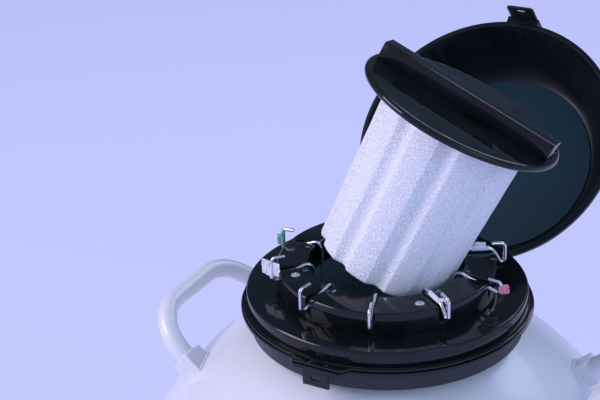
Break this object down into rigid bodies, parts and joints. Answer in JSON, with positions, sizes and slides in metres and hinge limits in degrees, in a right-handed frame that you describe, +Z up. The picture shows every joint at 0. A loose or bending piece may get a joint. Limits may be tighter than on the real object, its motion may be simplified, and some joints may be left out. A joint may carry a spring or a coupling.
{
  "type": "liquid nitrogen dewar",
  "caption": "Wide-neck liquid nitrogen storage dewar with an open hinged lid, a fluted foam neck plug raised over an indexed ring of hanging canister hooks.",
  "frame": {"origin": "on the floor under the neck's axis, on the flat underside of the base", "axes": "+Z up along the neck's axis, the lid's hinge at +Y, the hasp at -Y, the carrying handles at -X and +X"},
  "size_m": [0.612, 0.7237, 0.9629],
  "materials": {
    "white_paint": "gloss white enamel on spun aluminium",
    "black_rubber": "matte moulded rubber",
    "aluminium": "spun, satin",
    "stainless": "satin stainless steel",
    "screw_steel": "bright plated steel",
    "black_steel": "satin black powder coat",
    "black_gloss": "glossy black moulding with fine scuffs",
    "lid_black": "glossy black moulding",
    "dark_moulding": "satin dark grey moulding",
    "liner_grey": "flat dark grey foam sheet",
    "seal_rubber": "soft black rubber",
    "fibreglass": "teal grey glass-fibre laminate",
    "foil_blanket": "crinkled metallised film layers",
    "white_foam": "white bead foam",
    "canister_steel": "thin drawn stainless sheet",
    "hook_steel": "drawn stainless rod",
    "pink_tape": "pink label tape",
    "green_tape": "green label tape",
    "white_tape": "white label tape"
  },
  "bodies": {
    "dewar": {"outer_shell_top": "white_paint", "outer_shell_barrel": "white_paint", "outer_shell_bottom": "white_paint", "base_boot": "black_rubber", "inner_vessel_dome": "aluminium", "inner_vessel_barrel": "aluminium", "inner_vessel_bottom": "aluminium", "neck_tube": "fibreglass", "insulation_blanket": "foil_blanket", "evacuation_port": "aluminium", "evacuation_cap": "dark_moulding", "handle_left": "white_paint", "handle_right": "white_paint", "neck_collar": "dark_moulding", "flange_ring": "black_gloss", "shroud_plate": "black_gloss", "lid_seat_seal": "seal_rubber", "index_ring": "black_gloss", "ring_screws": "screw_steel", "hasp_plate": "black_steel", "hasp_rivets": "stainless", "hinge_bracket": "black_steel", "hinge_pin": "stainless", "hinge_screws": "screw_steel", "canister_spider": "aluminium"},
    "lid": {"lid_shell": "lid_black", "lid_liner": "liner_grey", "lid_hinge_leaf": "black_steel", "lid_leaf_screws": "screw_steel", "lid_hasp_tab": "black_steel", "lid_tab_rivets": "stainless"},
    "plug": {"plug_foam": "white_foam", "plug_disc": "black_gloss", "plug_handle": "black_gloss", "plug_screws": "screw_steel"},
    "canister_01": {"canister_cup_01": "canister_steel", "canister_rod_01": "hook_steel", "tag_pink": "pink_tape"},
    "canister_02": {"canister_cup_02": "canister_steel", "canister_rod_02": "hook_steel", "tape_wrap": "white_tape"},
    "canister_03": {"canister_cup_03": "canister_steel", "canister_rod_03": "hook_steel"},
    "canister_04": {"canister_cup_04": "canister_steel", "canister_rod_04": "hook_steel"},
    "canister_05": {"canister_cup_05": "canister_steel", "canister_rod_05": "hook_steel"},
    "canister_06": {"canister_cup_06": "canister_steel", "canister_rod_06": "hook_steel", "tag_green": "green_tape"},
    "canister_07": {"canister_cup_07": "canister_steel", "canister_rod_07": "hook_steel", "tag_white": "white_tape"},
    "canister_08": {"canister_cup_08": "canister_steel", "canister_rod_08": "hook_steel"},
    "canister_09": {"canister_cup_09": "canister_steel", "canister_rod_09": "hook_steel"},
    "canister_10": {"canister_cup_10": "canister_steel", "canister_rod_10": "hook_steel", "tape_twist": "white_tape"}
  },
  "joints": [
    {"name": "lid_hinge", "type": "hinge", "parent": "dewar", "child": "lid", "pos_m": [0, 0.153, 0.67], "axis": [1, 0, 0], "range_deg": [0, 54]},
    {"name": "plug_lift", "type": "slide", "parent": "dewar", "child": "plug", "axis": [0, 0, 1], "range_m": [0, 0.15]},
    {"name": "canister_lift_01", "type": "slide", "parent": "dewar", "child": "canister_01", "axis": [0, 0, 1], "range_m": [0, 0.012]},
    {"name": "canister_lift_02", "type": "slide", "parent": "dewar", "child": "canister_02", "axis": [0, 0, 1], "range_m": [0, 0.012]},
    {"name": "canister_lift_03", "type": "slide", "parent": "dewar", "child": "canister_03", "axis": [0, 0, 1], "range_m": [0, 0.012]},
    {"name": "canister_lift_04", "type": "slide", "parent": "dewar", "child": "canister_04", "axis": [0, 0, 1], "range_m": [0, 0.012]},
    {"name": "canister_lift_05", "type": "slide", "parent": "dewar", "child": "canister_05", "axis": [0, 0, 1], "range_m": [0, 0.012]},
    {"name": "canister_lift_06", "type": "slide", "parent": "dewar", "child": "canister_06", "axis": [0, 0, 1], "range_m": [0, 0.012]},
    {"name": "canister_lift_07", "type": "slide", "parent": "dewar", "child": "canister_07", "axis": [0, 0, 1], "range_m": [0, 0.012]},
    {"name": "canister_lift_08", "type": "slide", "parent": "dewar", "child": "canister_08", "axis": [0, 0, 1], "range_m": [0, 0.012]},
    {"name": "canister_lift_09", "type": "slide", "parent": "dewar", "child": "canister_09", "axis": [0, 0, 1], "range_m": [0, 0.012]},
    {"name": "canister_lift_10", "type": "slide", "parent": "dewar", "child": "canister_10", "axis": [0, 0, 1], "range_m": [0, 0.012]}
  ]
}
